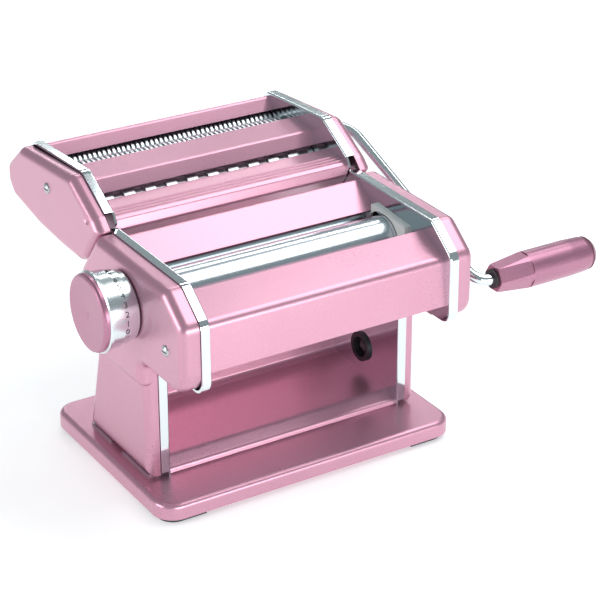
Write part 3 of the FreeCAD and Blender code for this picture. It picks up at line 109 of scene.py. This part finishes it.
# Camera, in the frame of the machine: metres, degrees, and millimetres for the lens and sensor.
CAMERA_PLACE = (-0.5057, -0.8646, 0.5715)
CAMERA_TILT = 63.92
CAMERA_TURN = -31.84
CAMERA_LENS = 122.86
CAMERA_SENSOR = 36.0
CAMERA_REACH = 50.0          # metres to the farthest thing that is drawn


# ---------------------------------------------------------------- shader writing
class Wire:
    """A node's output. Arithmetic on it adds Math nodes to its finish."""

    def __init__(self, finish, socket):
        self.finish = finish
        self.socket = socket

    def math(self, operation, first, second):
        return self.finish.node("ShaderNodeMath", {"operation": operation}, {0: first, 1: second})

    def __add__(self, other):
        return self.math("ADD", self, other)

    def __radd__(self, other):
        return self.math("ADD", other, self)

    def __mul__(self, other):
        return self.math("MULTIPLY", self, other)

    def __rmul__(self, other):
        return self.math("MULTIPLY", other, self)


class Finish:
    """One procedural material that reads the machine's own coordinates."""

    def __init__(self, name):
        self.material = bpy.data.materials.new(name)
        self.material.use_nodes = True
        self.tree = self.material.node_tree
        self.tree.nodes.clear()

    def node(self, kind, settings=None, inputs=None, output=0):
        """Adds a node with its settings first and then its sockets, and returns one output."""
        made = self.tree.nodes.new(kind)
        for key, value in (settings or {}).items():
            setattr(made, key, value)
        for key, value in (inputs or {}).items():
            if isinstance(value, Wire):
                self.tree.links.new(value.socket, made.inputs[key])
            else:
                made.inputs[key].default_value = value
        return Wire(self, made.outputs[output]) if len(made.outputs) else None

    def place(self, stretch=(1, 1, 1)):
        """Object coordinates, squeezed along each axis."""
        here = self.node("ShaderNodeTexCoord", output="Object")
        return self.node("ShaderNodeMapping", inputs={"Vector": here, "Scale": stretch})

    def noise(self, scale, detail=2.0, stretch=(1, 1, 1), roughness=0.5):
        """Soft random pattern between 0 and 1, with about scale waves to the metre."""
        return self.node("ShaderNodeTexNoise",
                         inputs={"Vector": self.place(stretch), "Scale": scale,
                                 "Detail": detail, "Roughness": roughness})

    def cells(self, scale):
        """A random shade for each small cell, as metal flake lies in paint."""
        shade = self.node("ShaderNodeTexVoronoi", {"feature": "F1"},
                          {"Vector": self.place(), "Scale": scale}, "Color")
        return self.node("ShaderNodeSeparateColor", inputs={"Color": shade}, output="Red")

    def blend(self, amount, low, high):
        """Colour between two tones."""
        return self.node("ShaderNodeMix", {"data_type": "RGBA"}, {0: amount, 6: low, 7: high}, 2)

    def bump(self, height, strength, distance):
        """Surface normal of a relief whose height is counted in steps of distance, in metres."""
        return self.node("ShaderNodeBump",
                         inputs={"Height": height, "Strength": strength, "Distance": distance})

    def surface(self, inputs):
        """Ends the finish with one surface shader."""
        shader = self.node("ShaderNodeBsdfPrincipled", inputs=inputs)
        self.node("ShaderNodeOutputMaterial", inputs={"Surface": shader})
        return self.material


# ---------------------------------------------------------------- finishes
def satin_paint(name, deep, light):
    """Satin metallic paint: fine flake, slow cloudiness and a faint orange peel."""
    finish = Finish(name)
    cloud = finish.noise(14.0, detail=3.0)
    flake = finish.cells(3400.0)
    peel = finish.noise(520.0)
    tone = finish.blend(0.55 * cloud + 0.45 * flake, deep, light)
    normal = finish.bump(0.7 * peel + 0.3 * flake, strength=0.10, distance=0.03 * MM)
    return finish.surface({"Base Color": tone, "Metallic": 0.70,
                           "Roughness": 0.24 + 0.08 * cloud + 0.10 * flake,
                           "Coat Weight": 0.22, "Coat Roughness": 0.16, "Normal": normal})


def chrome():
    """Bright chrome plate with faint polishing waves and hairline wear."""
    finish = Finish("bright_chrome")
    wave = finish.noise(26.0)
    hair = finish.noise(60.0, detail=6.0, stretch=(1, 8, 60), roughness=0.75)
    tone = finish.blend(0.7 * wave, CHROME_TONE, CHROME_SHADE)
    normal = finish.bump(wave + 0.04 * hair, strength=0.22, distance=0.12 * MM)
    return finish.surface({"Base Color": tone, "Metallic": 1.0,
                           "Roughness": 0.035 + 0.05 * wave + 0.05 * hair, "Normal": normal})


def turned_metal(name, tone, shade, roughness, rings):
    """Metal polished on a lathe: fine rings around the left-right axis."""
    finish = Finish(name)
    ring = finish.noise(1.0, detail=4.0, stretch=(rings, 25, 25), roughness=0.7)
    cloud = finish.noise(30.0, detail=3.0)
    colour = finish.blend(0.6 * ring + 0.3 * cloud, tone, shade)
    normal = finish.bump(ring, strength=0.12, distance=0.02 * MM)
    return finish.surface({"Base Color": colour, "Metallic": 1.0,
                           "Roughness": roughness + 0.12 * ring + 0.06 * cloud,
                           "Normal": normal})


def plated_metal(name, tone, shade, roughness):
    """Barrel-plated small parts: cloudy, with fine pits."""
    finish = Finish(name)
    cloud = finish.noise(160.0, detail=4.0)
    pit = finish.cells(2200.0)
    colour = finish.blend(cloud, tone, shade)
    normal = finish.bump(cloud + 0.3 * pit, strength=0.15, distance=0.03 * MM)
    return finish.surface({"Base Color": colour, "Metallic": 1.0,
                           "Roughness": roughness + 0.14 * cloud + 0.08 * pit,
                           "Normal": normal})


def moulded(name, tone, dust, roughness, grain):
    """Moulded plastic or rubber with a fine grain and a little dust."""
    finish = Finish(name)
    cloud = finish.noise(55.0, detail=4.0)
    texture = finish.noise(grain, detail=3.0)
    colour = finish.blend(0.35 * cloud + 0.35 * texture, tone, dust)
    normal = finish.bump(texture, strength=0.30, distance=0.05 * MM)
    return finish.surface({"Base Color": colour, "Roughness": roughness + 0.16 * texture,
                           "Normal": normal})


def make_finishes():
    """One finish for each material slot, and four that only some nodes take."""
    return {
        "pink_paint": satin_paint("satin_pink_paint", PINK, PINK_LIGHT),
        "chrome": chrome(),
        "polished_steel": turned_metal("polished_steel", STEEL_TONE, STEEL_SHADE,
                                       roughness=0.10, rings=1900),
        "plated_steel": plated_metal("plated_steel", ZINC_TONE, ZINC_SHADE, roughness=0.20),
        "spring_steel": plated_metal("spring_steel", STEEL_TONE, STEEL_SHADE, roughness=0.16),
        "bush_bronze": plated_metal("bush_bronze", BRONZE_TONE, BRONZE_SHADE, roughness=0.28),
        "foot_rubber": moulded("foot_rubber", RUBBER_TONE, RUBBER_DUST,
                               roughness=0.62, grain=900.0),
        "dark_plastic": moulded("dark_plastic", BLACK_TONE, BLACK_DUST,
                                roughness=0.34, grain=1400.0),
        "guide_plastic": moulded("guide_plastic", GUIDE_TONE, GUIDE_SHADE,
                                 roughness=0.26, grain=1100.0),
        "deep_paint": satin_paint("deep_pink_paint", PINK_DARK, PINK_DEEP),
        "middle_paint": satin_paint("middle_pink_paint", PINK_DEEP, PINK),
        "cutter_steel": turned_metal("cutter_steel", CHROME_TONE, STEEL_TONE,
                                     roughness=0.26, rings=900),
        "satin_chrome": turned_metal("satin_chrome", CHROME_TONE, CHROME_SHADE,
                                     roughness=0.12, rings=2600),
    }


# Nodes whose finish isn't their slot's own.
OWN_FINISH = {"knob_body": "satin_chrome", "knob_band": "satin_chrome",
              "grip_end_cap": "deep_paint", "grip": "middle_paint", "knob_cap": "middle_paint",
              "wide_cutter_front": "cutter_steel", "wide_cutter_rear": "cutter_steel",
              "fine_cutter_front": "cutter_steel", "fine_cutter_rear": "cutter_steel"}


def dress_frame(finishes):
    """Gives every node of the machine the finish of its slot, or its own."""
    slots = {part["node"]: part["material_slot"] for part in frame["record"]["subparts"]}
    for name, node in frame["nodes"].items():
        chosen = OWN_FINISH.get(name, slots[name])
        for slot in node.material_slots:
            slot.material = finishes[chosen]


# ---------------------------------------------------------------- dial numbers
def matrix_of(across, upward, outward, place):
    """Matrix that carries the three axes to these directions at this place."""
    matrix = Matrix((across, upward, outward)).transposed().to_4x4()
    matrix.translation = place
    return matrix


def dial_number(digit, angle, dial_x, centre, radius, finish):
    """One number on the knob's side, turned up by angle from the front and read towards +X."""
    bpy.ops.object.text_add()
    text = bpy.context.object
    text.data.body = str(digit)
    text.data.size = DIGIT_SIZE
    text.data.extrude = DIGIT_DEPTH
    text.data.resolution_u = DIGIT_CURVE_STEPS
    text.data.align_x = "CENTER"
    text.data.align_y = "CENTER"
    bpy.ops.object.convert(target="MESH")
    number = bpy.context.object
    number.name = f"dial_number_{digit}"
    turn = math.radians(angle)
    outward = Vector((0, -math.cos(turn), math.sin(turn)))
    reading = Vector((1, 0, 0))
    upward = outward.cross(reading)
    number.matrix_world = matrix_of(reading, upward, outward,
                                    Vector((dial_x, 0, 0)) + centre + outward * radius)
    bpy.ops.object.transform_apply(location=True, rotation=True, scale=True)
    number.data.materials.clear()
    number.data.materials.append(finish)
    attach(number, "knob")
    number.select_set(False)


def dial_numbers(finish):
    """The ten settings printed around the knob's number band."""
    low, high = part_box("knob_body")
    centre = Vector((0, (low.y + high.y) / 2, (low.z + high.z) / 2))
    radius = (high.z - low.z) / 2
    dial_x = high.x - DIAL_INSET
    for digit in range(DIGITS):
        dial_number(digit, DIGIT_FIRST + digit * DIGIT_STEP, dial_x, centre, radius, finish)


# ---------------------------------------------------------------- studio
def floor():
    """Plain pale floor that the machine stands on."""
    bpy.ops.mesh.primitive_plane_add(size=FLOOR_WIDTH, location=(0, 0, CAD_LOW.z - FLOOR_GAP))
    ground = bpy.context.object
    ground.name = "studio_floor"
    bpy.ops.object.transform_apply(location=True, rotation=True, scale=True)
    finish = Finish("studio_floor")
    cloud = finish.noise(3.0, detail=3.0)
    tone = finish.blend(cloud, FLOOR_TONE, FLOOR_SHADE)
    ground.data.materials.append(finish.surface({
        "Base Color": tone, "Roughness": 0.75 + 0.1 * cloud,
        "Emission Color": tone, "Emission Strength": FLOOR_GLOW}))
    ground.select_set(False)


def softbox(name, place, aim, size, power):
    """Rectangular soft light that points at a place on the machine."""
    data = bpy.data.lights.new(name, "AREA")
    data.shape = "RECTANGLE"
    data.size, data.size_y = size
    data.energy = power
    light = bpy.data.objects.new(name, data)
    light.location = place
    light.rotation_mode = "QUATERNION"
    light.rotation_quaternion = (Vector(aim) - Vector(place)).to_track_quat("-Z", "Y")
    bpy.context.scene.collection.objects.link(light)


def studio():
    """A pale room, with soft light from above, the left, the front and the back."""
    room = bpy.data.worlds.new("studio_room")
    room.use_nodes = True
    background = room.node_tree.nodes["Background"]
    background.inputs["Color"].default_value = ROOM_COLOUR
    background.inputs["Strength"].default_value = ROOM_STRENGTH
    bpy.context.scene.world = room
    middle = (CAD_LOW + CAD_HIGH) / 2
    for name, place, size, power in SOFTBOXES:
        softbox(name, place, middle, size, power)


def camera():
    """Camera to the front left of the machine and above it, looking down."""
    data = bpy.data.cameras.new("camera")
    data.lens = CAMERA_LENS
    data.sensor_width = CAMERA_SENSOR
    data.clip_end = CAMERA_REACH
    eye = bpy.data.objects.new("camera", data)
    eye.location = CAMERA_PLACE
    eye.rotation_euler = (math.radians(CAMERA_TILT), 0, math.radians(CAMERA_TURN))
    bpy.context.scene.collection.objects.link(eye)
    bpy.context.scene.camera = eye


def main():
    """Dresses the machine, adds its numbers and sets up the studio."""
    finishes = make_finishes()
    camera()
    dress_frame(finishes)
    dial_numbers(finishes["dark_plastic"])
    floor()
    studio()
    bpy.context.scene.view_settings.view_transform = "Standard"


main()
